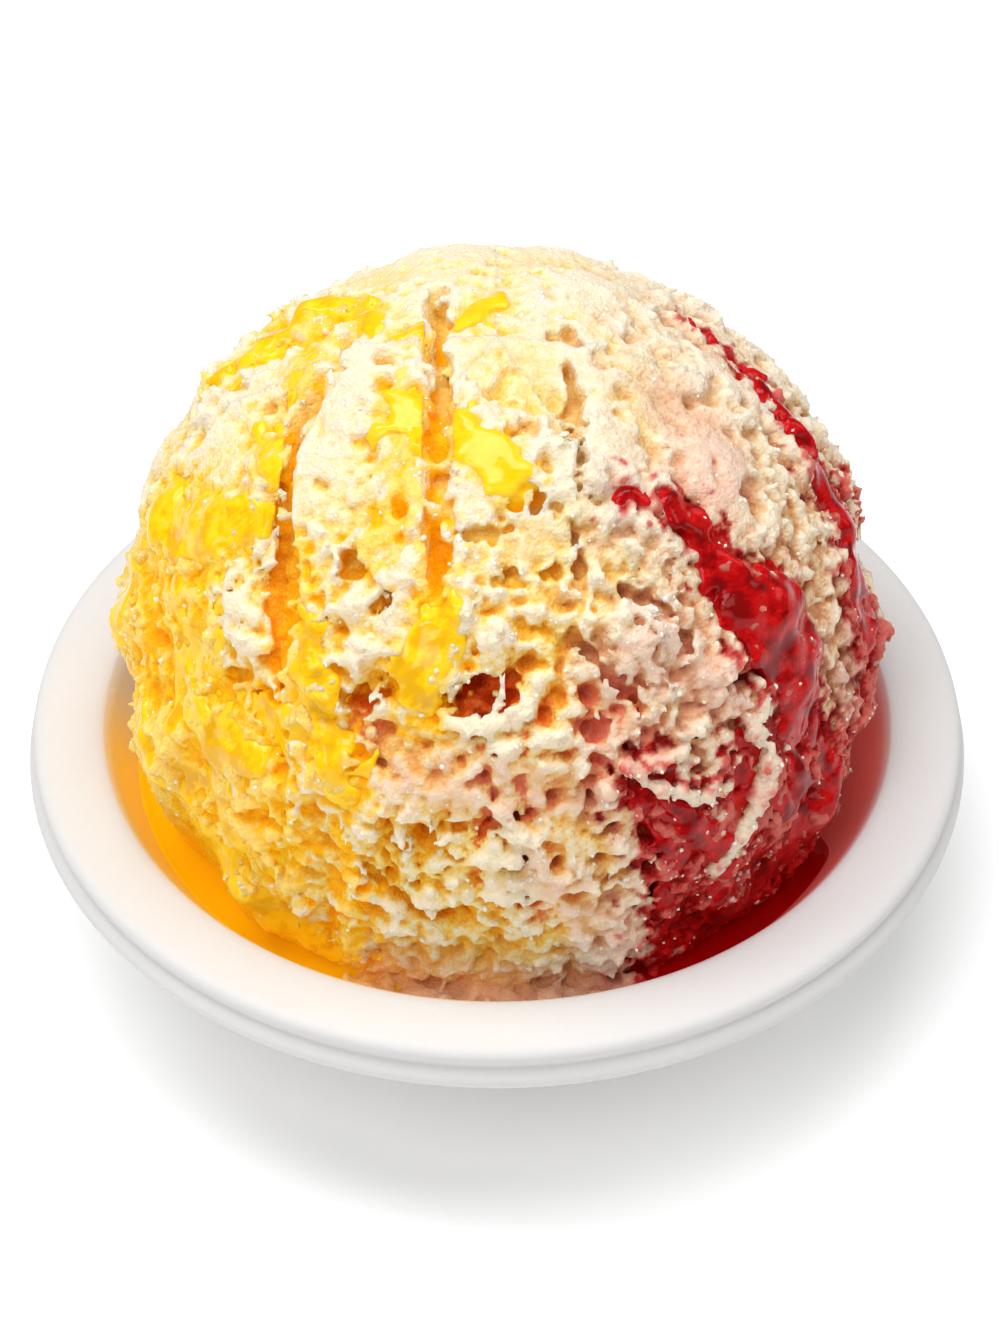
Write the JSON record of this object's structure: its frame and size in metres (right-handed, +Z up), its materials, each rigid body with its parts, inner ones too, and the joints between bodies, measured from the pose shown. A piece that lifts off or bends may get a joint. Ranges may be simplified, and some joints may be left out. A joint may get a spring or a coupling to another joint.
{
  "type": "shaved ice dessert",
  "caption": "Large ball of shaved ice with mango and cherry syrup, heaped above the rim of a round moulded pulp bowl.",
  "frame": {"origin": "middle of the bowl's base, on the plane that its foot ring stands on", "axes": "+Z up out of the bowl, -Y towards the side that is shown, with the mango syrup at -X and the cherry syrup at +X"},
  "size_m": [0.159, 0.159, 0.1213],
  "materials": {
    "pulp": "matte moulded fibre, white",
    "shaved_ice": "cream coloured ice snow, matte with wet glints",
    "mango_syrup": "wet gloss, clear golden yellow",
    "cherry_syrup": "wet gloss, clear deep red"
  },
  "bodies": {
    "root": {"bowl": "pulp", "ice_ball": "shaved_ice", "mango_pool": "mango_syrup", "cherry_pool": "cherry_syrup"}
  },
  "joints": []
}
